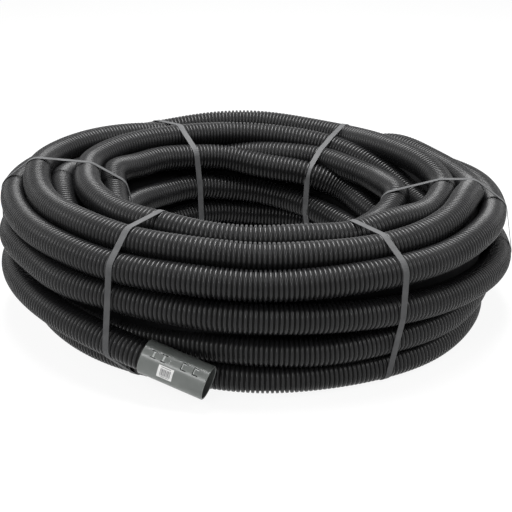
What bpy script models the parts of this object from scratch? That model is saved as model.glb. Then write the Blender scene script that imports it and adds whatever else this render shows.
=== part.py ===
"""A 50 m coil of corrugated drainage pipe, lying flat and tied with six straps, with a coupler on its free end.

Metres, +Z up. The coil's axis is vertical, the coupler's mouth points towards +X,
and the middle of the whole part's underside is the origin.
"""
from math import atan2, cos, floor, pi, radians, sin, sqrt

import bmesh
import bpy
from mathutils import Matrix, Vector

# The pipe
PIPE_OD = 0.050
PIPE_WALL = 0.0035
RIB_DEPTH = 0.0025
RIB_PITCH = 0.0075
RIB_CREST = 0.0032
RIB_FLANK = 0.0010

# The coil
INNER_TURN_RADIUS = 0.241
COIL_STEPS = 48
ARC_STEP = radians(30)
NOTCH_ANGLE = radians(25)

# The straps
STRAP_WIDTH = 0.012
STRAP_THICKNESS = 0.0008
STRAP_FACETS = (10, 18, 26, 34, 42, 1)
STRAP_OVER_TAIL = 0.0018

# The coupler
COUPLER_LENGTH = 0.111
COUPLER_WALL = 0.0027
COUPLER_TILT = radians(16)
COUPLER_MIDDLE_X = 0.0214
COUPLER_UP = 0.574
COUPLER_AZIMUTH = radians(272)
COUPLER_CLEARANCE = 0.0023
STOP_WIDTH = 0.004
STOP_HEIGHT = 0.0035
EDGE_CHAMFER = 0.0008
WINDOW_LENGTH = 0.0095
WINDOW_SPAN = 0.0125
WINDOW_SLIT = 0.0014
WINDOW_TURN = radians(42)
GRIP_WINDOW_SHARES = (0.131, 0.284)
SNAP_WINDOW_SHARES = (0.595, 0.775)
WINDOW_SIDES = (0.0, pi)
COUPLER_STEPS = 48

# The free end of the pipe, as it leaves the coil
TAIL_LEAVES = radians(124)
TAIL_IS_OUT = radians(184)
TAIL_DROPS = radians(247)
TAIL_STRAIGHT = 0.022
TAIL_POINT_GAP = 0.030
TAIL_RIBS = 25
TAIL_BEVEL = 8
BORE_DEPTH = 0.070

# Clearances
FIT_GAP = 0.0003
STRAP_GAP = 0.0006

# Worked out from the sizes above
PIPE_RADIUS = PIPE_OD / 2
BORE_RADIUS = PIPE_RADIUS - PIPE_WALL
STRAP_LIFT = STRAP_THICKNESS + STRAP_GAP
FLOOR_ROW = STRAP_LIFT + PIPE_RADIUS
SOCKET_RADIUS = PIPE_RADIUS + FIT_GAP
COUPLER_RADIUS = SOCKET_RADIUS + COUPLER_WALL
FACET = 2 * pi / COIL_STEPS
TAIL_SIDES = 2 * TAIL_BEVEL + 4
POINTS_PER_RIB = 4
CHANNEL_RADIUS = (PIPE_RADIUS + FIT_GAP) / cos(pi / TAIL_SIDES)

# Each turn on the outside of the bundle, clockwise from the top of the bore, in pipe diameters: out from
# the innermost turn, and up from the turns on the floor. A turn that wanders has its places at equal
# angles round the coil, from +X, and one that doesn't has a single place.
BUNDLE = {
    "bore_top": (
        (0.34, 3.42), (0.42, 3.32), (0.26, 3.24), (0.42, 3.28), (0.18, 3.44), (0.50, 3.68),
        (0.69, 3.86), (0.31, 3.49), (0.34, 3.32), (0.35, 3.30), (0.35, 3.28), (0.24, 3.30)),
    "top_inner": (
        (1.88, 3.83), (1.80, 4.00), (1.32, 4.07), (1.40, 3.95), (1.56, 4.05), (1.48, 4.20),
        (1.59, 4.20), (1.29, 4.26), (1.39, 4.21), (1.41, 4.09), (1.39, 3.96), (1.54, 3.94)),
    "top_sunk": (
        (2.51, 3.06), (2.20, 3.09), (2.03, 3.38), (2.19, 3.36), (2.38, 3.50), (2.08, 3.41),
        (2.40, 3.64), (2.17, 3.81), (2.21, 3.65), (2.23, 3.54), (2.23, 3.44), (2.31, 3.32)),
    "top_outer": (
        (2.88, 3.98), (2.95, 3.74), (2.95, 3.74), (3.03, 3.89), (3.20, 4.06), (2.66, 4.21),
        (3.08, 4.36), (3.04, 4.28), (2.99, 4.26), (3.03, 4.13), (3.06, 3.99), (3.07, 3.96)),
    "side_upper": (
        (3.75, 3.39), (3.90, 3.24), (3.81, 3.23), (3.80, 3.23), (3.62, 3.12), (3.56, 3.74),
        (3.87, 3.79), (3.86, 3.68), (3.75, 3.64), (3.78, 3.50), (3.85, 3.40), (3.90, 3.43)),
    "side_middle": (
        (3.98, 1.78), (3.98, 1.79), (3.91, 1.90), (3.88, 2.00), (3.90, 2.13), (3.92, 2.32),
        (3.91, 2.56), (4.01, 2.67), (3.91, 2.63), (3.86, 2.48), (3.87, 2.27), (3.86, 2.02)),
    "side_lower": (
        (3.37, 1.01), (3.37, 1.03), (3.39, 1.06), (3.38, 1.08), (3.40, 1.10), (2.74, 1.08),
        (2.84, 1.08), (2.93, 1.07), (2.99, 1.00), (3.09, 1.02), (3.47, 1.00), (3.52, 1.00)),
    "floor_outer": (
        (3.12, 0), (3.12, 0), (3.14, 0), (3.10, 0), (3.06, 0), (3.02, 0),
        (2.97, 0), (2.94, 0), (2.84, 0), (2.90, 0), (3.22, 0), (3.29, 0)),
    "floor_middle": (
        (2.12, 0), (2.12, 0), (2.14, 0), (2.10, 0), (2.06, 0), (2.02, 0),
        (1.97, 0), (1.94, 0), (1.86, 0), (1.92, 0), (2.15, 0), (2.17, 0)),
    "floor_inner": (
        (1.10, 0), (1.10, 0), (1.10, 0), (1.10, 0), (1.07, 0), (1.04, 0),
        (1.00, 0), (0.97, 0), (0.90, 0), (0.96, 0), (1.10, 0), (1.10, 0)),
    "floor_bore": (
        (0.10, 0), (0.10, 0), (0.10, 0), (0.10, 0), (0.08, 0), (0.06, 0),
        (0.02, 0), (0.00, 0), (-0.06, 0), (0.00, 0), (0.10, 0), (0.10, 0)),
    "bore_lower": ((0.00, 1.10),),
    "bore_middle": ((0.08, 2.26),),
}
# The free end leaves the bundle's lower side turn, and lies beside it here, in the same measure
TAIL_BESIDE = (4.00, 1.36)


def in_section(place):
    """A turn's centre, as (distance from the axis, height)."""
    across, up = place
    return (INNER_TURN_RADIUS + across * PIPE_OD, FLOOR_ROW + up * PIPE_OD)


def turn_centre(turn, azimuth):
    """A turn's centre at an angle round the coil, on a smooth line through the turn's places."""
    places = BUNDLE[turn]
    where = azimuth / (2 * pi) * len(places)
    t = where - floor(where)
    a, b, c, d = (Vector(places[(floor(where) + i) % len(places)]) for i in (-1, 0, 1, 2))
    return in_section(b + ((c - a) * t + (2 * a - 5 * b + 4 * c - d) * t**2 + (3 * b - a - 3 * c + d) * t**3) / 2)


def arc_points(centre, radius, start, end, sides):
    """Points of a clockwise arc in the section, from one angle to a smaller one."""
    angles = [start + (end - start) * i / sides for i in range(sides + 1)]
    return [(centre[0] + radius * cos(a), centre[1] + radius * sin(a)) for a in angles]


def scallops(azimuth):
    """Each turn's part of the outline at an angle round the coil: its centre, and its arc's start and end."""
    centres = [turn_centre(turn, azimuth) for turn in BUNDLE]
    arcs = []
    for i, centre in enumerate(centres):
        before, after = centres[i - 1], centres[(i + 1) % len(centres)]
        start = atan2(before[1] - centre[1], before[0] - centre[0]) - NOTCH_ANGLE
        end = atan2(after[1] - centre[1], after[0] - centre[0]) + NOTCH_ANGLE
        while end > start:
            end -= 2 * pi
        arcs.append((centre, start, end))
    return arcs


def bundle_profile(azimuth):
    """The scalloped outline of all the turns at an angle round the coil, clockwise, with the same corners at each."""
    sides = [max(2, round((start - end) / ARC_STEP)) for centre, start, end in scallops(0)]
    outline = []
    for (centre, start, end), count in zip(scallops(azimuth), sides):
        outline += arc_points(centre, PIPE_RADIUS, start, end, count)
    return outline


def convex_hull(points):
    """The convex outline round the points, anticlockwise."""
    def half(ordered):
        chain = []
        for p in ordered:
            while len(chain) > 1 and cross(chain[-2], chain[-1], p) <= 1e-9:
                chain.pop()
            chain.append(p)
        return chain[:-1]

    def cross(a, b, c):
        return (b[0] - a[0]) * (c[1] - a[1]) - (b[1] - a[1]) * (c[0] - a[0])

    ordered = sorted(set(points))
    return half(ordered) + half(ordered[::-1])


def grown(outline, distance):
    """A convex anticlockwise outline with every side moved outwards."""
    result = []
    for i, point in enumerate(outline):
        before, after = outline[i - 1], outline[(i + 1) % len(outline)]
        one = (Vector(point) - Vector(before)).normalized()
        two = (Vector(after) - Vector(point)).normalized()
        out_one, out_two = Vector((one.y, -one.x)), Vector((two.y, -two.x))
        bisector = (out_one + out_two).normalized()
        result.append(tuple(Vector(point) + bisector * distance / bisector.dot(out_one)))
    return result


def new_collection(name):
    collection = bpy.data.collections.new(name)
    bpy.context.scene.collection.children.link(collection)
    return collection


def principled(name, colour, roughness, metallic=0.0):
    material = bpy.data.materials.new(name)
    material.use_nodes = True
    shader = material.node_tree.nodes["Principled BSDF"]
    shader.inputs["Base Color"].default_value = (*colour, 1)
    shader.inputs["Roughness"].default_value = roughness
    shader.inputs["Metallic"].default_value = metallic
    return material


def add_object(name, data, collection, material=None, parent=None):
    thing = bpy.data.objects.new(name, data)
    collection.objects.link(thing)
    thing.parent = parent
    if material:
        data.materials.append(material)
    return thing


def as_cutter(thing):
    thing.hide_render = True
    thing.display_type = "WIRE"
    return thing


def screwed(name, outline, steps, collection, material=None, parent=None):
    """A closed outline of (radius, height) turned once round the Z axis."""
    mesh = bpy.data.meshes.new(name)
    rim = [(x, 0, z) for x, z in outline]
    mesh.from_pydata(rim, [(i, (i + 1) % len(rim)) for i in range(len(rim))], [])
    turned = add_object(name, mesh, collection, material, parent)
    screw = turned.modifiers.new("turn", "SCREW")
    screw.steps = screw.render_steps = steps
    screw.use_merge_vertices = True
    screw.merge_threshold = 0.00001
    screw.use_smooth_shade = True
    return turned


def wound(name, sections, collection, material=None, parent=None):
    """A closed ring round the Z axis through outlines of (radius, height) at equal angles, corner for corner."""
    made = bmesh.new()
    rings = []
    for i, outline in enumerate(sections):
        azimuth = 2 * pi * i / len(sections)
        rings.append([made.verts.new((x * cos(azimuth), x * sin(azimuth), z)) for x, z in outline])
    for ring, following in zip(rings, rings[1:] + rings[:1]):
        for i in range(len(ring)):
            made.faces.new((ring[i - 1], ring[i], following[i], following[i - 1]))
    bmesh.ops.triangulate(made, faces=made.faces)
    bmesh.ops.recalc_face_normals(made, faces=made.faces)
    mesh = bpy.data.meshes.new(name)
    made.to_mesh(mesh)
    made.free()
    return add_object(name, mesh, collection, material, parent)


def boolean(thing, other, operation):
    modifier = thing.modifiers.new(operation.lower(), "BOOLEAN")
    modifier.operation = operation
    modifier.solver = "EXACT"
    modifier.object = other


def mesh_from_curve(name, curve_object, collection, material=None, parent=None):
    """Replaces a curve object by a mesh object with its caps welded on."""
    bpy.context.view_layer.update()
    evaluated = curve_object.evaluated_get(bpy.context.evaluated_depsgraph_get())
    mesh = bpy.data.meshes.new_from_object(evaluated)
    made = bmesh.new()
    made.from_mesh(mesh)
    bmesh.ops.remove_doubles(made, verts=made.verts, dist=0.000005)
    bmesh.ops.recalc_face_normals(made, faces=made.faces)
    made.to_mesh(mesh)
    made.free()
    mesh.name = name
    mesh.materials.clear()
    placed = curve_object.matrix_world.copy()
    bpy.data.objects.remove(curve_object)
    thing = add_object(name, mesh, collection, material, parent)
    thing.matrix_world = placed
    return thing


def coupler_place():
    """The coupler's own frame: its axis is local Z, from the pipe's side at 0 to its mouth, and local X is up."""
    height = FLOOR_ROW + COUPLER_UP * PIPE_OD
    clear = PIPE_RADIUS + COUPLER_CLEARANCE + COUPLER_RADIUS
    radius, turn_height = turn_centre("side_lower", COUPLER_AZIMUTH)
    reach = radius + sqrt(clear**2 - (turn_height - height)**2)
    middle = Vector((COUPLER_MIDDLE_X, -reach, height))
    axis = Vector((cos(COUPLER_TILT), 0, -sin(COUPLER_TILT)))
    side = Vector((0, -1, 0))
    turn = Matrix((side.cross(axis), side, axis)).transposed()
    return Matrix.LocRotScale(middle - axis * COUPLER_LENGTH / 2, turn.to_quaternion(), None)


def tail_point(azimuth):
    """The centre line of the last turn where it lies on the coil, by its angle round the coil."""
    inside, beside = turn_centre("side_lower", TAIL_LEAVES), in_section(TAIL_BESIDE)
    share = min(1.0, max(0.0, (azimuth - TAIL_LEAVES) / (TAIL_IS_OUT - TAIL_LEAVES)))
    share = share * share * (3 - 2 * share)
    radius = inside[0] + (beside[0] - inside[0]) * share
    height = inside[1] + (beside[1] - inside[1]) * share
    return Vector((radius * cos(azimuth), radius * sin(azimuth), height))


def tail_route():
    """The tail's centre line, from inside the coil to its end at the coupler's stop."""
    place = coupler_place()
    end = place @ Vector((0, 0, (COUPLER_LENGTH - STOP_WIDTH) / 2 - FIT_GAP))
    straight = place @ Vector((0, 0, -TAIL_STRAIGHT))
    start = tail_point(TAIL_DROPS)
    leaving = Vector((-sin(TAIL_DROPS), cos(TAIL_DROPS), 0))
    arriving = (end - straight).normalized()
    reach = (straight - start).length
    turn = TAIL_POINT_GAP / start.xy.length
    count = round((TAIL_DROPS - TAIL_LEAVES) / turn)
    route = [tail_point(TAIL_LEAVES + (TAIL_DROPS - TAIL_LEAVES) * i / count) for i in range(count)]
    bend = 24
    for i in range(bend):
        t = i / bend
        route.append(start * (2 * t**3 - 3 * t**2 + 1) + leaving * reach * (t**3 - 2 * t**2 + t)
                     + straight * (3 * t**2 - 2 * t**3) + arriving * reach * (t**3 - t**2))
    return route + [straight, end]


def along(route, distance):
    """The point at a distance from the end of a route."""
    for after, before in zip(route[::-1], route[-2::-1]):
        step = (before - after).length
        if distance <= step:
            return after.lerp(before, distance / step)
        distance -= step
    return route[0]


def rib_stations():
    """Each rib's four corners: (distance from the pipe's end, radius)."""
    valley = PIPE_RADIUS - RIB_DEPTH
    stations = []
    for rib in range(TAIL_RIBS):
        start = rib * RIB_PITCH
        stations += [
            (start, PIPE_RADIUS),
            (start + RIB_CREST, PIPE_RADIUS),
            (start + RIB_CREST + RIB_FLANK, valley),
            (start + RIB_PITCH - RIB_FLANK, valley),
        ]
    return stations + [(TAIL_RIBS * RIB_PITCH, PIPE_RADIUS)]


def free_end_points():
    """The free end's centre line as (place, radius), ribs first, from the coupler's stop back into the coil."""
    route = tail_route()
    ribbed = TAIL_RIBS * RIB_PITCH
    length = sum((b - a).length for a, b in zip(route, route[1:]))
    plain = int((length - ribbed) / TAIL_POINT_GAP)
    stations = rib_stations() + [(ribbed + (length - ribbed) * (i + 1) / plain, PIPE_RADIUS) for i in range(plain)]
    return [(along(route, distance), radius) for distance, radius in stations]


def tube(name, points, collection, material=None, parent=None):
    """A closed tube along (place, radius) points, its facets level with the floor all the way."""
    curve = bpy.data.curves.new(name, "CURVE")
    curve.dimensions = "3D"
    curve.twist_mode = "Z_UP"
    curve.bevel_depth = PIPE_RADIUS
    curve.bevel_resolution = TAIL_BEVEL
    curve.use_fill_caps = True
    spline = curve.splines.new("POLY")
    spline.points.add(len(points) - 1)
    for knot, (where, radius) in zip(spline.points, points):
        knot.co = (*where, 1)
        knot.radius = radius / PIPE_RADIUS
    return mesh_from_curve(name, add_object(name, curve, collection), collection, material, parent)


def build_free_end(parts, cutters, plastic, parent):
    """The free end: plain where it leaves the coil, with real ribs near the coupler, and hollow at its end."""
    points = free_end_points()
    free_end = tube("free_end", points, parts, plastic, parent)

    place = coupler_place()
    axis = place.to_3x3() @ Vector((0, 0, 1))
    depth = BORE_DEPTH + PIPE_RADIUS
    made = bmesh.new()
    bmesh.ops.create_cone(made, cap_ends=True, segments=TAIL_SIDES, radius1=BORE_RADIUS, radius2=BORE_RADIUS,
                          depth=depth)
    bore_mesh = bpy.data.meshes.new("free_end_bore")
    made.to_mesh(bore_mesh)
    made.free()
    bore = as_cutter(add_object("free_end_bore", bore_mesh, cutters, parent=parent))
    bore.location = points[0][0] + axis * (depth / 2 - BORE_DEPTH)
    bore.rotation_euler = place.to_euler()
    boolean(free_end, bore, "DIFFERENCE")


def build_coil(parts, cutters, plastic, parent):
    """All the turns as one wound solid, with a channel where the last turn works its way out of them."""
    sections = [bundle_profile(i * FACET) for i in range(COIL_STEPS)]
    coil = wound("coiled_pipe", sections, parts, plastic, parent)
    ribs_end = POINTS_PER_RIB * TAIL_RIBS
    places = [where for where, radius in free_end_points()]
    places = places[:ribs_end:POINTS_PER_RIB] + places[ribs_end:]
    places.append(places[-1] + (places[-1] - places[-2]).normalized() * FIT_GAP)
    channel = tube("channel", [(where, CHANNEL_RADIUS) for where in places], cutters, parent=parent)
    boolean(coil, as_cutter(channel), "DIFFERENCE")


def window_outline(kind):
    """A slot through the coupler's wall, as a flat outline: x round the coupler, y along it."""
    half, length, slit = WINDOW_SPAN / 2, WINDOW_LENGTH, WINDOW_SLIT
    if kind == "snap":
        return [(-half, 0), (half, 0), (half, length), (half - slit, length),
                (half - slit, slit), (-half + slit, slit), (-half + slit, length), (-half, length)]
    low, high = (length - slit) / 2, (length + slit) / 2
    return [(-half, 0), (-half + slit, 0), (-half + slit, low), (half - slit, low), (half - slit, 0), (half, 0),
            (half, length), (half - slit, length), (half - slit, high), (-half + slit, high),
            (-half + slit, length), (-half, length)]


def flat_solid(name, outlines, thickness, collection, material=None, parent=None):
    """Closed outlines in XY, filled and given a thickness along Z; a second outline is a hole."""
    curve = bpy.data.curves.new(name, "CURVE")
    curve.dimensions = "2D"
    curve.fill_mode = "BOTH"
    curve.extrude = thickness / 2
    for outline in outlines:
        spline = curve.splines.new("POLY")
        spline.points.add(len(outline) - 1)
        spline.use_cyclic_u = True
        for knot, (x, y) in zip(spline.points, outline):
            knot.co = (x, y, 0, 1)
    return mesh_from_curve(name, add_object(name, curve, collection), collection, material, parent)


def build_coupler(parts, cutters, plastic, parent):
    """A sleeve with a stop ring at mid length, and rows of grip and snap windows through its wall."""
    inner, outer, edge = SOCKET_RADIUS, COUPLER_RADIUS, EDGE_CHAMFER
    stop_low, stop_high = (COUPLER_LENGTH - STOP_WIDTH) / 2, (COUPLER_LENGTH + STOP_WIDTH) / 2
    outline = [
        (inner + edge, COUPLER_LENGTH), (outer - edge, COUPLER_LENGTH), (outer, COUPLER_LENGTH - edge),
        (outer, edge), (outer - edge, 0), (inner + edge, 0), (inner, edge),
        (inner, stop_low), (inner - STOP_HEIGHT, stop_low), (inner - STOP_HEIGHT, stop_high),
        (inner, stop_high), (inner, COUPLER_LENGTH - edge),
    ]
    coupler = screwed("coupler", outline, COUPLER_STEPS, parts, plastic, parent)
    coupler.matrix_local = coupler_place()
    rows = [("grip", share) for share in GRIP_WINDOW_SHARES] + [("snap", share) for share in SNAP_WINDOW_SHARES]
    for side, turn in enumerate(WINDOW_SIDES):
        for row, (kind, share) in enumerate(rows):
            name = f"{kind}_window_{side}_{row}"
            slot = as_cutter(flat_solid(name, [window_outline(kind)], PIPE_RADIUS, cutters))
            stand_up = Matrix.Rotation(pi / 2, 4, "Z") @ Matrix.Rotation(pi / 2, 4, "X")
            outwards = Matrix.Translation((SOCKET_RADIUS + PIPE_RADIUS / 4, 0, COUPLER_LENGTH * share))
            slot.parent = parent
            slot.matrix_local = (coupler_place() @ Matrix.Rotation(WINDOW_TURN + turn, 4, "Z")
                                 @ outwards @ stand_up)
            boolean(coupler, slot, "DIFFERENCE")
    return coupler


def tail_in_plane(azimuth):
    """The tail's centre where it passes through a strap's plane, or nothing where it doesn't lie beside the coil."""
    if azimuth < TAIL_LEAVES:
        return None
    normal = Vector((-sin(azimuth), cos(azimuth), 0))
    route = tail_route()
    for a, b in zip(route, route[1:]):
        before, after = a.dot(normal), b.dot(normal)
        if before <= 0 < after and a.xy.dot((cos(azimuth), sin(azimuth))) > 0:
            where = a.lerp(b, -before / (after - before))
            return (where.xy.length, where.z)
    return None


def strap_section(facet):
    """The bundle's corners where both edges of a strap cross one facet of the coil, as the strap's plane shows them."""
    half = FACET / 2
    corners = []
    for (x0, z0), (x1, z1) in zip(bundle_profile(facet * FACET), bundle_profile((facet + 1) * FACET)):
        length = (x0 + x1) * sin(half)
        for edge in (-STRAP_WIDTH / 2, STRAP_WIDTH / 2):
            share = (edge + x0 * sin(half)) / length
            corners.append(((x0 + (x1 - x0) * share) * cos(half), z0 + (z1 - z0) * share))
    return corners


def build_strap(number, facet, parts, plastic, parent):
    """A flat band pulled round the bundle, and over the tail where that lies beside it."""
    azimuth = (facet + 0.5) * FACET
    outline = strap_section(facet)
    tail = tail_in_plane(azimuth)
    if tail:
        outline += arc_points(tail, PIPE_RADIUS + STRAP_OVER_TAIL, 2 * pi, 0, TAIL_SIDES)
    inside = grown(convex_hull(outline), STRAP_GAP)
    outside = grown(inside, STRAP_THICKNESS)
    strap = flat_solid(f"strap_{number}", [outside, inside], STRAP_WIDTH, parts, plastic, parent)
    strap.matrix_local = Matrix.Rotation(azimuth, 4, "Z") @ Matrix.Rotation(pi / 2, 4, "X")
    return strap


def centre_on_origin(parts, root):
    """Moves the whole part so that the middle of its box's underside is the origin."""
    bpy.context.view_layer.update()
    graph = bpy.context.evaluated_depsgraph_get()
    corners = []
    for thing in parts.objects:
        if thing.type == "MESH":
            shown = thing.evaluated_get(graph)
            corners += [shown.matrix_world @ vertex.co for vertex in shown.data.vertices]
    low = [min(c[i] for c in corners) for i in range(3)]
    high = [max(c[i] for c in corners) for i in range(3)]
    root.location = (-(low[0] + high[0]) / 2, -(low[1] + high[1]) / 2, -low[2])


def build():
    for thing in list(bpy.data.objects):
        bpy.data.objects.remove(thing)
    parts = new_collection("corrugated_drainage_pipe")
    cutters = new_collection("cutters")
    root = bpy.data.objects.new("coil_centre", None)
    parts.objects.link(root)
    pipe_plastic = principled("black_polyethylene", (0.012, 0.012, 0.013), 0.38)
    coupler_plastic = principled("grey_green_plastic", (0.13, 0.15, 0.14), 0.45)
    strap_plastic = principled("dark_strapping", (0.06, 0.06, 0.062), 0.5)

    build_coil(parts, cutters, pipe_plastic, root)
    build_free_end(parts, cutters, pipe_plastic, root)
    build_coupler(parts, cutters, coupler_plastic, root)
    for number, facet in enumerate(STRAP_FACETS, start=1):
        build_strap(number, facet, parts, strap_plastic, root)
    centre_on_origin(parts, root)


build()
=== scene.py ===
"""A flat coil of black corrugated drainage pipe, tied with six bands, with a coupler on its free end."""
import math

import bmesh
import bpy
import numpy as np
from mathutils import Matrix, Vector


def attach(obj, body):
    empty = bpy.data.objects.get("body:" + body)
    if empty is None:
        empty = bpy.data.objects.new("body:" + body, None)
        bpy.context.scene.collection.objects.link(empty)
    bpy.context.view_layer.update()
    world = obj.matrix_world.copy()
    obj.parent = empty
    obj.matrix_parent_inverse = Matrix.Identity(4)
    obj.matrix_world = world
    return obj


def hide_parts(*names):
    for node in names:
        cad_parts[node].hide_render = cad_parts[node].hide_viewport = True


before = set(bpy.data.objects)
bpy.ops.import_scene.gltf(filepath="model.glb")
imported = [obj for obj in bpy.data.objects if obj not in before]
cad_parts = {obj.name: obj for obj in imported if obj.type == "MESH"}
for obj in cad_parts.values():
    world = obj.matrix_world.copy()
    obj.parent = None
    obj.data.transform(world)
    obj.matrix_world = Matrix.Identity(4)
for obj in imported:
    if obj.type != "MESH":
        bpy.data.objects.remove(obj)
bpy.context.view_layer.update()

# The coil's middle, and how far the azimuths below are turned from the frame's, in degrees.
COIL_MIDDLE = (0.000716, 0.007793)
COIL_TURN = 18.75

# The pipe and its ribs, in metres.
PIPE_RADIUS = 0.0250
SHOULDER_RADIUS = 0.0247
VALLEY_RADIUS = 0.0210
PIPE_BORE_RADIUS = 0.0200
BORE_DEPTH = 0.05
RIB_PITCH = 0.0075
# Along one rib: the share of the pitch, and the pipe's radius there.
RIB_STATIONS = ((0.13, VALLEY_RADIUS), (0.24, SHOULDER_RADIUS), (0.49, PIPE_RADIUS),
                (0.74, SHOULDER_RADIUS), (0.85, VALLEY_RADIUS))
PIPE_FACETS = 22
# A longer run of pipe is cut in equal pieces, so that none has too many faces.
LONGEST_PIECE = 5.0

# Each turn's centre line: (radius, height) in millimetres at every turn step, in degrees.
TURN_STEP = 15
# The dense points between two of those places.
LINE_STEPS = 60
# Turns that close on themselves start at azimuth 0, and the others at the azimuth before their list.
ROUND_TURNS = {
    "outer_top_turn": [
        (392, 212), (387, 211), (389, 212), (389, 215), (381, 186), (375, 178),
        (373, 185), (362, 204), (362, 226), (371, 239), (385, 244), (397, 244),
        (397, 245), (392, 239), (391, 239), (391, 239), (392, 234), (393, 232),
        (394, 227), (394, 225), (394, 222), (394, 225), (387, 229), (382, 228)],
    "bore_upper_turn": [
        (228, 100), (218, 93), (215, 95), (215, 101), (221, 112), (233, 119),
        (241, 128), (245, 137), (248, 146), (248, 147), (247, 151), (247, 155),
        (247, 156), (246, 152), (245, 146), (245, 141), (245, 137), (245, 137),
        (245, 137), (245, 137), (245, 137), (245, 137), (243, 128), (240, 115)],
    "bore_lower_turn": [
        (256, 66), (257, 66), (259, 62), (258, 63), (253, 69), (248, 76),
        (246, 79), (247, 86), (248, 89), (246, 88), (246, 89), (246, 90),
        (246, 90), (246, 88), (245, 84), (245, 81), (245, 80), (245, 80),
        (245, 80), (245, 80), (245, 80), (245, 80), (245, 79), (247, 71)],
    "bore_floor_turn": [
        (236, 26), (238, 26), (236, 26), (236, 26), (242, 26), (245, 26),
        (246, 26), (245, 26), (243, 26), (242, 26), (241, 26), (240, 26),
        (239, 26), (238, 26), (236, 26), (235, 26), (236, 26), (240, 26),
        (246, 26), (246, 26), (246, 26), (246, 26), (246, 26), (243, 26)],
    "upper_side_turn": [
        (442, 114), (440, 116), (438, 119), (436, 122), (436, 124), (435, 127),
        (435, 130), (436, 134), (437, 138), (437, 144), (436, 150), (437, 156),
        (439, 158), (441, 160), (435, 161), (437, 156), (433, 154), (434, 149),
        (435, 144), (434, 138), (434, 132), (434, 125), (436, 119), (441, 114)],
    "floor_side_turn": [
        (395, 26), (398, 26), (398, 26), (398, 26), (397, 26), (396, 26),
        (395, 26), (394, 26), (393, 26), (392, 26), (390, 27), (389, 27),
        (388, 28), (387, 28), (384, 28), (382, 26), (383, 26), (388, 26),
        (400, 26), (402, 26), (404, 26), (405, 26), (400, 27), (396, 26)],
    "sunk_side_turn": [(384, 129)] * (360 // TURN_STEP),
    "floor_middle_turn": [
        (346, 26), (348, 26), (349, 26), (348, 26), (347, 26), (346, 26), (345, 26), (344, 26),
        (342, 26), (341, 26), (340, 26), (339, 26), (338, 26), (337, 26), (334, 26), (333, 26),
        (334, 26), (339, 26), (349, 26), (352, 26), (354, 26), (355, 26), (350, 26), (347, 26)],
    "floor_inner_turn": [
        (296, 26), (297, 26), (297, 26), (297, 26), (297, 26), (296, 26), (295, 26), (294, 26),
        (292, 26), (291, 26), (290, 26), (289, 26), (288, 26), (287, 26), (285, 26), (284, 26),
        (285, 26), (289, 26), (297, 26), (299, 26), (300, 26), (301, 26), (299, 26), (297, 26)],
}
OPEN_TURNS = {
    "top_turns": (45, [
        (348, 172), (336, 161), (326, 158), (330, 158), (342, 160), (348, 173), (352, 190), (357, 203),
        (362, 212), (355, 222), (350, 215), (353, 199), (352, 189), (352, 186),
        (352, 186), (352, 186), (352, 186), (352, 184), (352, 181), (351, 176),
        (347, 169), (328, 164), (309, 170), (306, 185), (306, 200), (312, 212),
        (310, 221), (316, 226), (318, 230), (314, 234), (316, 237), (319, 238),
        (320, 236), (308, 237), (306, 240), (308, 239), (311, 236), (311, 235),
        (312, 229), (311, 225), (311, 224), (316, 220), (320, 224), (332, 219),
        (335, 218), (339, 220), (328, 230), (323, 232), (333, 230), (361, 224),
        (380, 226), (399, 231), (405, 229), (410, 221), (417, 219), (427, 216),
        (437, 215), (440, 212), (432, 210), (430, 210), (428, 207), (429, 202),
        (431, 201), (432, 196), (434, 197), (437, 199), (435, 198), (432, 201),
        (428, 193), (432, 187), (436, 188), (432, 186), (432, 188), (432, 188),
        (431, 188), (426, 185), (416, 180), (404, 174), (397, 172), (392, 171)]),
    "bore_top_turns": (-45, [
        (298, 155), (293, 150), (283, 140), (270, 130), (250, 130), (243, 138),
        (247, 152), (228, 175), (220, 184), (227, 190), (248, 200), (259, 206),
        (268, 211), (271, 213), (275, 220), (260, 209), (257, 198), (257, 193),
        (258, 192), (258, 192), (259, 191), (259, 190), (258, 190), (254, 189),
        (247, 188), (241, 186), (246, 188), (258, 197), (254, 196), (257, 193),
        (256, 196), (268, 198), (266, 200), (279, 196), (294, 186), (299, 178)]),
    "free_end_turns": (120, [
        (372, 80), (376, 80), (380, 80), (384, 80), (387, 80), (388, 80),
        (388, 78), (391, 76), (393, 76), (397, 78), (408, 77), (415, 74),
        (416, 75), (417, 74), (412, 75), (409, 77), (409, 77), (410, 78),
        (410, 78), (410, 79), (410, 80), (410, 80), (411, 80), (415, 82),
        (421, 85), (428, 88), (435, 91), (440, 94), (443, 96), (441, 96),
        (439, 95), (440, 90), (446, 80)]),
}
# The turns that stand for more than the coil's own node.
STANDS_FOR = {"free_end_turns": ["free_end", "coiled_pipe"]}

# A turned ring in the bundle's hidden middle, near black as painted shade behind the gaps between turns:
# (radius, height) in millimetres.
CORE_OUTLINE = ((262, 26), (385, 26), (395, 76), (415, 130), (415, 185), (395, 200),
                (370, 190), (345, 160), (300, 150), (268, 130), (262, 80))
CORE_STEPS = 48

# The bands: their azimuths, their section, and how far they lie from the turns' centre lines.
BAND_AZIMUTHS = (60, 120, 180, 240, 300, 352.5)
BAND_WIDTH = 0.0114
BAND_THICKNESS = 0.0008
BAND_REST_RADIUS = 0.0251
BAND_ARC_STEPS = 36
# Where a band bends less than this, in radians, it is one flat face.
BAND_FLATNESS = 0.001

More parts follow.
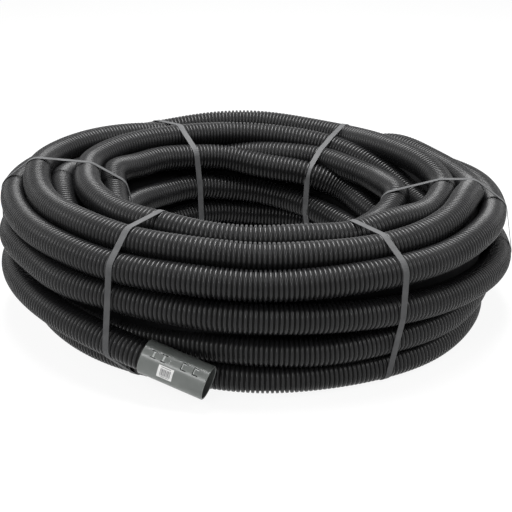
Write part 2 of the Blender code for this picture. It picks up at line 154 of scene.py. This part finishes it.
# The coupler's place: its two ends and its stop ring on its own axis.
COUPLER_PIPE_SIDE = Vector((-0.031234, -0.439210, 0.070398))
COUPLER_STOP = Vector((0.024039, -0.439210, 0.054549))
COUPLER_MOUTH = Vector((0.075466, -0.439210, 0.039802))
COUPLER_AXIS = (COUPLER_MOUTH - COUPLER_PIPE_SIDE).normalized()
COUPLER_FRONT = Vector((0, -1, 0))
COUPLER_UP = COUPLER_FRONT.cross(COUPLER_AXIS)
COUPLER_PLACE = (Matrix.Translation(COUPLER_PIPE_SIDE)
                 @ Matrix((COUPLER_UP, COUPLER_FRONT, COUPLER_AXIS)).transposed().to_4x4())
BARREL_RADIUS = 0.0280

# Points nearer to each other than this are one.
MERGE_GAP = 0.00002
# Two directions count as one where their cosine passes this.
SAME_WAY = 0.95

# Sizes on the barrel are millimetres along it from the pipe side, and degrees round it from its top.
PATCH_STEP = 3.0
GRIP_WINDOWS = (14.5, 31.5)
SNAP_WINDOWS = (66.0, 86.0)
WINDOW_TURN = 42.0
WINDOW_LENGTH = 9.5
WINDOW_SPAN = 12.5
SLIT = 1.4
LIP_WIDTH = 1.3
LIP_TURN = 3.0
LIP_LIFT = 0.0002
# Two moulded dots between the windows: along the barrel, and round from the windows' middle.
NUBS = ((47.0, -2.0), (46.0, 5.0))
NUB_SIZE = 1.6
NUB_TURN = 3.2

# The label: start, end, and the two edges round the barrel, then its bars and its two printed lines.
LABEL = (33.5, 59.0, 64.0, 106.0)
LABEL_LIFT = 0.0002
LABEL_BARS = ((38.0, 0.9), (39.6, 0.5), (40.8, 1.3), (42.9, 0.5), (44.1, 0.9), (45.9, 1.4), (48.1, 0.5),
              (49.3, 0.9), (50.9, 1.3), (53.0, 0.6), (54.2, 0.9))
BAR_REACH = (73.0, 97.0)
PRINT_LINES = ((67.5, 69.3), (100.0, 101.6))

# The camera: azimuth and elevation, distance from its aim on the coil's axis, and the aim's height.
CAMERA_SIDE = (270, 21)
CAMERA_DISTANCE = 2.32
CAMERA_AIM = 0.079
CAMERA_LENS = 87.1
CAMERA_SENSOR = 36

# Soft lamps: azimuth, elevation, distance, width, depth, power. All look at the coil at LAMP_AIM.
LAMPS = {
    "overhead_light": (90, 80, 2.6, 1.3, 2.0, 130),
    "front_light": (248, 30, 2.9, 0.6, 0.4, 12),
    "left_light": (195, 35, 2.8, 1.0, 1.0, 14),
    "right_light": (345, 35, 2.8, 1.0, 1.0, 14),
}
LAMP_AIM = 0.1
SKY_STRENGTH = 0.20
FLOOR_HALF = 6
FLOOR_HEIGHT = -0.0005
# The share of the floor that shows as plain white. The rest takes the coil's shadow.
FLOOR_GLOW_SHARE = 0.82
FLOOR_GLOW = 1.1


def coil_point(azimuth, radius_mm, height_mm):
    """A point of the coil from its azimuth in degrees and its radius and height in millimetres."""
    angle = math.radians(azimuth + COIL_TURN)
    radius = radius_mm / 1000
    x = COIL_MIDDLE[0] + radius * math.cos(angle)
    y = COIL_MIDDLE[1] + radius * math.sin(angle)
    return (x, y, height_mm / 1000)


def turn_points(first, rows):
    """The points of one turn's centre line."""
    return [coil_point(first + i * TURN_STEP, *row) for i, row in enumerate(rows)]


def smooth_line(points, closed):
    """Dense points of the cubic line through the given ones."""
    p = np.array(points, float)
    if closed:
        p = np.vstack([p, p[:1]])
    gap = np.linalg.norm(np.diff(p, axis=0), axis=1)
    n = len(gap)
    slope = np.diff(p, axis=0) / gap[:, None]
    size = n if closed else n + 1
    a = np.zeros((size, size))
    b = np.zeros((size, 3))
    for i in range(0 if closed else 1, n):
        before, after = gap[i - 1], gap[i]
        a[i, i - 1] += before
        a[i, i] += 2 * (before + after)
        a[i, (i + 1) % size] += after
        b[i] = 6 * (slope[i] - slope[i - 1])
    if not closed:
        a[0, 0] = a[n, n] = 1
    bend = np.linalg.solve(a, b)
    if closed:
        bend = np.vstack([bend, bend[:1]])
    rows = []
    for i in range(n):
        h = gap[i]
        u = (np.arange(LINE_STEPS) / LINE_STEPS * h)[:, None]
        rows.append(p[i] + u * (slope[i] - h / 6 * (2 * bend[i] + bend[i + 1]))
                    + u ** 2 * bend[i] / 2 + u ** 3 * (bend[i + 1] - bend[i]) / (6 * h))
    rows.append(p[-1:])
    return np.vstack(rows)


def walk(line):
    """The distance along a line at each of its points."""
    return np.concatenate([[0], np.cumsum(np.linalg.norm(np.diff(line, axis=0), axis=1))])


def mesh_from(shape, name):
    """Turns a finished bmesh into a mesh."""
    mesh = bpy.data.meshes.new(name)
    shape.to_mesh(mesh)
    shape.free()
    return mesh


def finish_piece(piece, nodes, finish):
    """Gives a piece its finish and its body, and hides the CAD nodes that it stands for."""
    bpy.context.scene.collection.objects.link(piece)
    piece.data.materials.append(finish)
    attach(piece, "root")
    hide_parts(*nodes)
    return piece


# Finishes
def new_finish(name):
    """A new material with its node tree and its shader."""
    finish = bpy.data.materials.new(name)
    finish.use_nodes = True
    return finish, finish.node_tree, finish.node_tree.nodes["Principled BSDF"]


def pattern(tree, kind, scale):
    """A texture of the given kind on Object coordinates."""
    place = tree.nodes.new("ShaderNodeTexCoord")
    texture = tree.nodes.new(kind)
    texture.inputs["Scale"].default_value = scale
    tree.links.new(place.outputs["Object"], texture.inputs["Vector"])
    return texture


def cloudy_colour(tree, scale, dark, pale, low, high, detail=2):
    """A colour that drifts between two shades in soft clouds."""
    cloud = pattern(tree, "ShaderNodeTexNoise", scale)
    cloud.inputs["Detail"].default_value = detail
    ramp = tree.nodes.new("ShaderNodeValToRGB")
    for stop, position, colour in zip(ramp.color_ramp.elements, (low, high), (dark, pale)):
        stop.position = position
        stop.color = (*colour, 1)
    tree.links.new(cloud.outputs["Fac"], ramp.inputs["Fac"])
    return ramp.outputs["Color"]


def fine_relief(tree, shader, height, strength, distance):
    """Bumps the shader's surface by a texture's height."""
    bump = tree.nodes.new("ShaderNodeBump")
    bump.inputs["Strength"].default_value = strength
    bump.inputs["Distance"].default_value = distance
    tree.links.new(height, bump.inputs["Height"])
    tree.links.new(bump.outputs["Normal"], shader.inputs["Normal"])


def black_polyethylene():
    """Black pipe plastic: shiny on the ribs and dull in the valleys, with painted shade that makes the
    valleys darker, and a fine grain.
    """
    finish, tree, shader = new_finish("black_polyethylene")
    colour = cloudy_colour(tree, 14, (0.0080, 0.0080, 0.0086), (0.0140, 0.0140, 0.0148), 0.3, 0.75, detail=4)
    rib = tree.nodes.new("ShaderNodeAttribute")
    rib.attribute_name = "rib_height"
    depth = tree.nodes.new("ShaderNodeMapRange")
    depth.inputs["From Min"].default_value = 0.25
    depth.inputs["From Max"].default_value = 0.95
    depth.inputs["To Min"].default_value = 0.08
    rough = tree.nodes.new("ShaderNodeMapRange")
    rough.inputs["To Min"].default_value = 0.75
    rough.inputs["To Max"].default_value = 0.26
    # Painted shade: the colour is multiplied down by the rib height, darker towards the valleys' floors.
    shade = tree.nodes.new("ShaderNodeMix")
    shade.data_type = "RGBA"
    shade.blend_type = "MULTIPLY"
    shade.inputs["Factor"].default_value = 1
    tree.links.new(rib.outputs["Fac"], depth.inputs["Value"])
    tree.links.new(depth.outputs["Result"], rough.inputs["Value"])
    tree.links.new(colour, shade.inputs["A"])
    tree.links.new(depth.outputs["Result"], shade.inputs["B"])
    tree.links.new(shade.outputs["Result"], shader.inputs["Base Color"])
    tree.links.new(rough.outputs["Result"], shader.inputs["Roughness"])
    grain = pattern(tree, "ShaderNodeTexNoise", 420)
    fine_relief(tree, shader, grain.outputs["Fac"], 0.05, 0.0002)
    shader.inputs["Specular IOR Level"].default_value = 0.28
    return finish


def painted_shade_plastic():
    """Painted shade: the near black given to the bundle's hidden middle, seen through its gaps."""
    finish, tree, shader = new_finish("painted_shade_plastic")
    colour = cloudy_colour(tree, 30, (0.004, 0.004, 0.0045), (0.009, 0.009, 0.0095), 0, 1)
    tree.links.new(colour, shader.inputs["Base Color"])
    shader.inputs["Roughness"].default_value = 0.8
    shader.inputs["Specular IOR Level"].default_value = 0.1
    return finish


def band_plastic():
    """Dark grey strapping with fine embossed cells."""
    finish, tree, shader = new_finish("band_plastic")
    colour = cloudy_colour(tree, 60, (0.044, 0.045, 0.047), (0.068, 0.069, 0.071), 0.3, 0.7)
    tree.links.new(colour, shader.inputs["Base Color"])
    emboss = pattern(tree, "ShaderNodeTexVoronoi", 650)
    fine_relief(tree, shader, emboss.outputs["Distance"], 0.35, 0.0003)
    shader.inputs["Roughness"].default_value = 0.6
    return finish


def coupler_plastic():
    """Smooth grey-green moulded plastic."""
    finish, tree, shader = new_finish("coupler_plastic")
    colour = cloudy_colour(tree, 45, (0.128, 0.139, 0.132), (0.158, 0.169, 0.161), 0.3, 0.7)
    tree.links.new(colour, shader.inputs["Base Color"])
    grain = pattern(tree, "ShaderNodeTexNoise", 900)
    fine_relief(tree, shader, grain.outputs["Fac"], 0.08, 0.0002)
    shader.inputs["Roughness"].default_value = 0.28
    return finish


def plain_finish(name, dark, pale, roughness):
    """A finish of nearly one colour, with a slight cloud in it."""
    finish, tree, shader = new_finish(name)
    tree.links.new(cloudy_colour(tree, 160, dark, pale, 0.35, 0.65), shader.inputs["Base Color"])
    shader.inputs["Roughness"].default_value = roughness
    return finish


PIPE_FINISH = black_polyethylene()
# The hidden middle is near black, as painted shade.
CORE_SHADE_FINISH = painted_shade_plastic()
BAND_FINISH = band_plastic()
COUPLER_FINISH = coupler_plastic()
# The coupler's inner wall is darker and matt, as painted shade.
SOCKET_SHADE_FINISH = plain_finish("painted_socket_shade", (0.045, 0.049, 0.047), (0.060, 0.065, 0.062), 0.7)
# Pale patches of painted highlight, where light catches the latches' edges.
LIP_HIGHLIGHT_FINISH = plain_finish("painted_edge_highlight", (0.38, 0.40, 0.39), (0.52, 0.54, 0.53), 0.35)
PAPER_FINISH = plain_finish("label_paper", (0.78, 0.78, 0.77), (0.84, 0.84, 0.83), 0.6)
INK_FINISH = plain_finish("label_ink", (0.13, 0.13, 0.135), (0.20, 0.20, 0.205), 0.6)


# Turns of pipe
def close_ends(mesh):
    """Closes the two ends of an open turn, and opens the bore of the end inside the coupler."""
    shape = bmesh.new()
    shape.from_mesh(mesh)
    ends = bmesh.ops.holes_fill(shape, edges=[e for e in shape.edges if e.is_boundary])["faces"]
    cut_end = [f for f in ends if (f.calc_center_median() - COUPLER_STOP).length < PIPE_RADIUS]
    if cut_end:
        bmesh.ops.inset_individual(shape, faces=cut_end, thickness=VALLEY_RADIUS - PIPE_BORE_RADIUS)
        bottom = bmesh.ops.extrude_discrete_faces(shape, faces=cut_end)["faces"]
        bmesh.ops.translate(shape, verts=bottom[0].verts, vec=-COUPLER_AXIS * BORE_DEPTH)
    shape.to_mesh(mesh)
    shape.free()


def ribbed_pipe(name, line, closed):
    """A run of corrugated pipe along a line, with its ribs. Its points keep their height on the rib."""
    along = walk(line)
    ribs = round(along[-1] / RIB_PITCH)
    pitch = along[-1] / ribs
    stations = [((rib + share) * pitch, radius) for rib in range(ribs) for share, radius in RIB_STATIONS]
    if not closed:
        stations = [(0, VALLEY_RADIUS)] + stations + [(along[-1], VALLEY_RADIUS)]
    at = np.array([distance for distance, _ in stations])
    radii = np.array([radius for _, radius in stations])
    route = np.stack([np.interp(at, along, line[:, k]) for k in range(3)], 1)
    curve = bpy.data.curves.new(name, "CURVE")
    curve.dimensions = "3D"
    curve.twist_mode = "Z_UP"
    curve.bevel_depth = PIPE_RADIUS
    curve.bevel_resolution = (PIPE_FACETS - 4) // 2
    strand = curve.splines.new("POLY")
    strand.points.add(len(route) - 1)
    strand.points.foreach_set("co", np.hstack([route, np.ones((len(route), 1))]).ravel())
    strand.points.foreach_set("radius", radii / PIPE_RADIUS)
    strand.use_cyclic_u = closed
    holder = bpy.data.objects.new(name + "_line", curve)
    bpy.context.scene.collection.objects.link(holder)
    mesh = bpy.data.meshes.new_from_object(holder.evaluated_get(bpy.context.evaluated_depsgraph_get()))
    bpy.data.objects.remove(holder)
    mesh.name = name
    height = (radii - VALLEY_RADIUS) / (PIPE_RADIUS - VALLEY_RADIUS)
    rib_height = mesh.attributes.new("rib_height", "FLOAT", "POINT")
    rib_height.data.foreach_set("value", np.repeat(height, PIPE_FACETS))
    if not closed:
        close_ends(mesh)
    mesh.shade_smooth()
    return bpy.data.objects.new(name, mesh)


def bundle_core():
    """The bundle's hidden middle as one turned ring, which carries painted shade."""
    shape = bmesh.new()
    face = shape.faces.new([shape.verts.new(coil_point(0, *row)) for row in CORE_OUTLINE])
    bmesh.ops.spin(shape, geom=[face, *face.edges, *face.verts], cent=(*COIL_MIDDLE, 0), axis=(0, 0, 1),
                   angle=math.tau, steps=CORE_STEPS, use_merge=True)
    bmesh.ops.remove_doubles(shape, verts=shape.verts, dist=MERGE_GAP)
    bmesh.ops.recalc_face_normals(shape, faces=shape.faces)
    return bpy.data.objects.new("bundle_core", mesh_from(shape, "bundle_core"))


round_lines = {name: smooth_line(turn_points(0, rows), True) for name, rows in ROUND_TURNS.items()}
open_points = {name: turn_points(first, rows) for name, (first, rows) in OPEN_TURNS.items()}
# The free end runs on straight through the coupler to its stop ring.
tail_length = (COUPLER_STOP - COUPLER_PIPE_SIDE).length
open_points["free_end_turns"] += [tuple(COUPLER_PIPE_SIDE + COUPLER_AXIS * tail_length * share)
                                  for share in (0, 0.5, 1)]
open_lines = {name: smooth_line(points, False) for name, points in open_points.items()}

for name, line in round_lines.items():
    finish_piece(ribbed_pipe(name, line, True), ["coiled_pipe"], PIPE_FINISH)
for name, line in open_lines.items():
    along = walk(line)
    parts = math.ceil(along[-1] / LONGEST_PIECE)
    cuts = np.searchsorted(along, np.linspace(0, along[-1], parts + 1)[1:-1])
    ends = [0, *cuts, len(line) - 1]
    for part in range(parts):
        run = ribbed_pipe(f"{name}_{part + 1}", line[ends[part]:ends[part + 1] + 1], False)
        finish_piece(run, STANDS_FOR.get(name, ["coiled_pipe"]), PIPE_FINISH)
finish_piece(bundle_core(), ["coiled_pipe"], CORE_SHADE_FINISH)


# Bands
def crossings(azimuth):
    """Where the turns' centre lines cross one azimuth: (radius, height) in metres."""
    found = []
    angle = math.radians(azimuth + COIL_TURN)
    outward = np.array([math.cos(angle), math.sin(angle)])
    across = np.array([-math.sin(angle), math.cos(angle)])
    for line in [*round_lines.values(), *open_lines.values()]:
        flat = line[:, :2] - COIL_MIDDLE
        side, out, height = flat @ across, flat @ outward, line[:, 2]
        for i in np.nonzero((side[:-1] * side[1:] <= 0) & (out[:-1] > 0))[0]:
            share = side[i] / (side[i] - side[i + 1])
            radius = out[i] + share * (out[i + 1] - out[i])
            found.append((radius, height[i] + share * (height[i + 1] - height[i])))
    return found


def band(name, azimuth):
    """A strap drawn tight round the bundle: the hull of the turns that it passes, without its sides."""
    angle = math.radians(azimuth + COIL_TURN)
    outward = Vector((math.cos(angle), math.sin(angle), 0))
    across = Vector((-math.sin(angle), math.cos(angle), 0))
    upright = Matrix((outward, Vector((0, 0, 1)), across)).transposed().to_4x4()
    shape = bmesh.new()
    for radius, height in crossings(azimuth):
        ring = bmesh.ops.create_circle(shape, segments=BAND_ARC_STEPS, radius=BAND_REST_RADIUS)["verts"]
        place = Vector((*COIL_MIDDLE, height)) + outward * radius
        bmesh.ops.transform(shape, verts=ring, matrix=Matrix.Translation(place) @ upright)
    near = list(shape.verts)
    bmesh.ops.translate(shape, verts=near, vec=-across * BAND_WIDTH / 2)
    for v in near:
        shape.verts.new(v.co + across * BAND_WIDTH)
    bmesh.ops.convex_hull(shape, input=list(shape.verts))
    bmesh.ops.delete(shape, geom=[v for v in shape.verts if not v.link_faces], context="VERTS")
    sides = [f for f in shape.faces if abs(f.normal.dot(across)) > SAME_WAY]
    bmesh.ops.delete(shape, geom=sides, context="FACES_ONLY")
    bmesh.ops.delete(shape, geom=[e for e in shape.edges if not e.link_faces], context="EDGES")
    bmesh.ops.dissolve_limit(shape, angle_limit=BAND_FLATNESS, verts=shape.verts, edges=shape.edges)
    bmesh.ops.recalc_face_normals(shape, faces=shape.faces)
    piece = bpy.data.objects.new(name, mesh_from(shape, name))
    wall = piece.modifiers.new("wall", "SOLIDIFY")
    wall.thickness = BAND_THICKNESS
    wall.offset = 1
    return piece


for number, azimuth in enumerate(BAND_AZIMUTHS, 1):
    finish_piece(band(f"band_{number}", azimuth), [f"strap_{number}"], BAND_FINISH)


# The coupler, its latches and its label
def out_from_axis(point):
    """The direction from the coupler's axis to a point."""
    reach = point - COUPLER_PIPE_SIDE
    return (reach - COUPLER_AXIS * reach.dot(COUPLER_AXIS)).normalized()


def coupler_shell():
    """The coupler's own solid, joined up and shaded round about its axis."""
    shape = bmesh.new()
    shape.from_mesh(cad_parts["coupler"].data)
    bmesh.ops.remove_doubles(shape, verts=shape.verts, dist=MERGE_GAP)
    mesh = mesh_from(shape, "coupler_shell")
    mesh.shade_smooth()
    directions = []
    for face in mesh.polygons:
        side = out_from_axis(face.center).dot(face.normal)
        for corner in face.vertices:
            out = out_from_axis(mesh.vertices[corner].co)
            directions.append(out * math.copysign(1, side) if abs(side) > SAME_WAY else face.normal)
    mesh.normals_split_custom_set(directions)
    return bpy.data.objects.new("coupler_shell", mesh)


def paint_socket_shade(shell):
    """Paints shade on the coupler's inner wall with a darker, matt finish."""
    shell.data.materials.append(SOCKET_SHADE_FINISH)
    for face in shell.data.polygons:
        if out_from_axis(face.center).dot(face.normal) < -SAME_WAY:
            face.material_index = 1


def barrel_patch(shape, start, end, low, high, lift):
    """A patch that stands off the barrel by its lift, from its ends along it and its edges round it."""
    radius = BARREL_RADIUS + lift
    x, y = radius * math.cos(math.radians(low)), radius * math.sin(math.radians(low))
    corners = [shape.verts.new((x, y, z / 1000)) for z in (start, end)]
    edge = shape.edges.new(corners)
    steps = max(1, round((high - low) / PATCH_STEP))
    bmesh.ops.spin(shape, geom=[edge, *corners], cent=(0, 0, 0), axis=(0, 0, 1),
                   angle=math.radians(high - low), steps=steps)


def patches(name, places, lift, thickness):
    """Thin pieces that lie on the barrel, as one object."""
    shape = bmesh.new()
    for place in places:
        barrel_patch(shape, *place, lift)
    bmesh.ops.recalc_face_normals(shape, faces=shape.faces)
    bmesh.ops.transform(shape, verts=shape.verts, matrix=COUPLER_PLACE)
    piece = bpy.data.objects.new(name, mesh_from(shape, name))
    skin = piece.modifiers.new("skin", "SOLIDIFY")
    skin.thickness = thickness
    skin.offset = 0
    return piece


def latch_edge_highlights():
    """Painted highlights as pale patches on the latches' edges: one across each grip window, two inside each
    snap window, and two dots.
    """
    half = math.degrees((WINDOW_SPAN / 2 - SLIT) / 1000 / BARREL_RADIUS)
    low, high = WINDOW_TURN - half, WINDOW_TURN + half
    places = []
    for near in GRIP_WINDOWS:
        middle = near + WINDOW_LENGTH / 2
        places.append((middle - LIP_WIDTH, middle + LIP_WIDTH, low, high))
    for near in SNAP_WINDOWS:
        places.append((near + SLIT, near + SLIT + LIP_WIDTH, low, high))
        places.append((near + SLIT, near + WINDOW_LENGTH, low, low + LIP_TURN))
    for near, beyond in NUBS:
        places.append((near, near + NUB_SIZE, WINDOW_TURN + beyond, WINDOW_TURN + beyond + NUB_TURN))
    return patches("latch_edge_highlights", places, LIP_LIFT, 2 * LIP_LIFT)


def label_print():
    """The label's plain grey bars and lines, which spell nothing."""
    places = [(near, near + width, *BAR_REACH) for near, width in LABEL_BARS]
    places += [(LABEL_BARS[0][0], LABEL_BARS[-1][0], low, high) for low, high in PRINT_LINES]
    return patches("label_print", places, 2 * LABEL_LIFT, LABEL_LIFT / 2)


shell = finish_piece(coupler_shell(), ["coupler"], COUPLER_FINISH)
paint_socket_shade(shell)
finish_piece(latch_edge_highlights(), ["coupler"], LIP_HIGHLIGHT_FINISH)
finish_piece(patches("label", [LABEL], LABEL_LIFT, LABEL_LIFT), ["coupler"], PAPER_FINISH)
finish_piece(label_print(), ["coupler"], INK_FINISH)


# The studio
def seen_plain(tree):
    """1 for the camera's own rays and for those that gloss and glass send on, 0 for the rest."""
    ray = tree.nodes.new("ShaderNodeLightPath")
    seen = ray.outputs["Is Camera Ray"]
    for kind in ("Is Glossy Ray", "Is Transmission Ray"):
        either = tree.nodes.new("ShaderNodeMath")
        either.operation = "MAXIMUM"
        tree.links.new(seen, either.inputs[0])
        tree.links.new(ray.outputs[kind], either.inputs[1])
        seen = either.outputs[0]
    return seen


def floor():
    """A wide pale floor, near white to the camera, that still takes the coil's shadow."""
    shape = bmesh.new()
    bmesh.ops.create_grid(shape, x_segments=1, y_segments=1, size=FLOOR_HALF,
                          matrix=Matrix.Translation((0, 0, FLOOR_HEIGHT)))
    plane = bpy.data.objects.new("studio_floor", mesh_from(shape, "studio_floor"))
    bpy.context.scene.collection.objects.link(plane)
    finish, tree, shader = new_finish("floor_white")
    shader.inputs["Base Color"].default_value = (0.8, 0.8, 0.8, 1)
    shader.inputs["Roughness"].default_value = 0.9
    shader.inputs["Specular IOR Level"].default_value = 0
    glow = tree.nodes.new("ShaderNodeEmission")
    glow.inputs["Color"].default_value = (1, 1, 1, 1)
    glow.inputs["Strength"].default_value = FLOOR_GLOW
    share = tree.nodes.new("ShaderNodeMath")
    share.operation = "MULTIPLY"
    share.inputs[1].default_value = FLOOR_GLOW_SHARE
    mix = tree.nodes.new("ShaderNodeMixShader")
    tree.links.new(seen_plain(tree), share.inputs[0])
    tree.links.new(share.outputs[0], mix.inputs["Fac"])
    tree.links.new(shader.outputs["BSDF"], mix.inputs[1])
    tree.links.new(glow.outputs["Emission"], mix.inputs[2])
    tree.links.new(mix.outputs["Shader"], tree.nodes["Material Output"].inputs["Surface"])
    plane.data.materials.append(finish)


def sky():
    """Even pale light all round, and plain white behind the coil."""
    world = bpy.data.worlds.new("studio_sky")
    bpy.context.scene.world = world
    world.use_nodes = True
    tree = world.node_tree
    soft = tree.nodes["Background"]
    soft.inputs["Color"].default_value = (1, 1, 1, 1)
    soft.inputs["Strength"].default_value = SKY_STRENGTH
    white = tree.nodes.new("ShaderNodeBackground")
    white.inputs["Color"].default_value = (1, 1, 1, 1)
    mix = tree.nodes.new("ShaderNodeMixShader")
    tree.links.new(seen_plain(tree), mix.inputs["Fac"])
    tree.links.new(soft.outputs[0], mix.inputs[1])
    tree.links.new(white.outputs[0], mix.inputs[2])
    tree.links.new(mix.outputs[0], tree.nodes["World Output"].inputs["Surface"])


def look_from(obj, azimuth, elevation, distance, height):
    """Places a lamp or camera about the coil, so that it looks at its axis at one height."""
    target = Vector((*COIL_MIDDLE, height))
    a, e = math.radians(azimuth + COIL_TURN), math.radians(elevation)
    outward = Vector((math.cos(e) * math.cos(a), math.cos(e) * math.sin(a), math.sin(e)))
    obj.location = target + distance * outward
    obj.rotation_euler = (target - obj.location).to_track_quat("-Z", "Y").to_euler()
    bpy.context.scene.collection.objects.link(obj)


def lamp(name, azimuth, elevation, distance, width, depth, power):
    """A soft rectangular light."""
    data = bpy.data.lights.new(name, "AREA")
    data.shape = "RECTANGLE"
    data.size = width
    data.size_y = depth
    data.energy = power
    look_from(bpy.data.objects.new(name, data), azimuth, elevation, distance, LAMP_AIM)


def camera():
    """The photograph's view."""
    data = bpy.data.cameras.new("studio_camera")
    data.lens = CAMERA_LENS
    data.sensor_width = CAMERA_SENSOR
    obj = bpy.data.objects.new("studio_camera", data)
    look_from(obj, *CAMERA_SIDE, CAMERA_DISTANCE, CAMERA_AIM)
    bpy.context.scene.camera = obj


floor()
sky()
for name, place in LAMPS.items():
    lamp(name, *place)
camera()
bpy.context.scene.view_settings.view_transform = "Standard"
